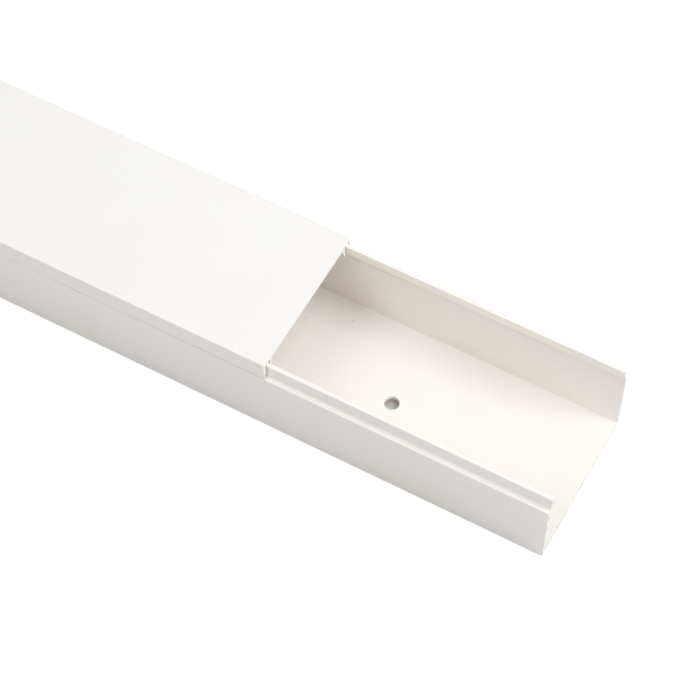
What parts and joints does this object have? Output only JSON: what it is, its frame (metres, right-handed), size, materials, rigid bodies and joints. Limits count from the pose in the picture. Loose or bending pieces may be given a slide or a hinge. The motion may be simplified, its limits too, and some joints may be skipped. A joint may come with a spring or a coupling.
{
  "type": "cord cover raceway",
  "caption": "Surface cable raceway of white extruded plastic: a screw-down channel with inset rails and a clip-on cover that slides along them.",
  "frame": {"origin": "centre of the channel's flat underside, on the plane of the wall it is fixed to", "axes": "+X along the raceway towards its open end, +Y across it, +Z away from the wall towards the cover"},
  "size_m": [0.4705, 0.04, 0.025],
  "materials": {
    "white_upvc": "satin, as extruded"
  },
  "bodies": {
    "channel": {"base_channel": "white_upvc"},
    "cover": {"clip_cover": "white_upvc"}
  },
  "joints": [
    {"name": "cover_slide", "type": "slide", "parent": "channel", "child": "cover", "axis": [1, 0, 0], "range_m": [-0.28, 0.0705]}
  ]
}
